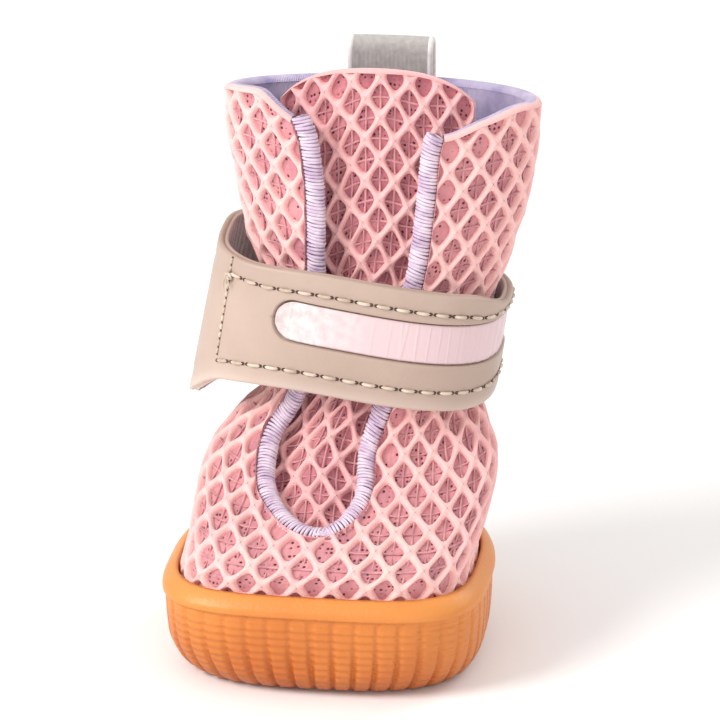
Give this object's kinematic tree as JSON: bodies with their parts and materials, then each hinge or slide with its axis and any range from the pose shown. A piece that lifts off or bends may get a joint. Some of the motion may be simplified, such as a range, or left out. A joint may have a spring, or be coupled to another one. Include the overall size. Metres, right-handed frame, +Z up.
{
  "type": "dog boot",
  "caption": "Small-dog boot with a hollow air-mesh upper, edged throat and tongue, ankle strap with reflective window, pull loop and ribbed rubber cup sole",
  "frame": {"origin": "middle of the boot's box on the floor under the sole", "axes": "+Z up, -Y toward the toe, +Y toward the heel and pull loop, +X toward the side that the shaft leans to"},
  "size_m": [0.0473, 0.0488, 0.0786],
  "materials": {
    "gum_rubber": "smooth moulded gum rubber",
    "insole_foam": "knit-faced foam",
    "air_mesh": "padded spacer mesh",
    "overlock_thread": "dense overlock stitching",
    "faux_leather": "smooth satin faux leather",
    "reflective_tape": "pearly reflective tape",
    "ribbon": "close woven ribbon"
  },
  "bodies": {
    "root": {"outsole": "gum_rubber", "insole": "insole_foam", "upper": "air_mesh", "throat_edging": "overlock_thread", "tongue": "air_mesh", "strap": "faux_leather", "reflective_strip": "reflective_tape", "pull_loop": "ribbon"}
  },
  "joints": []
}
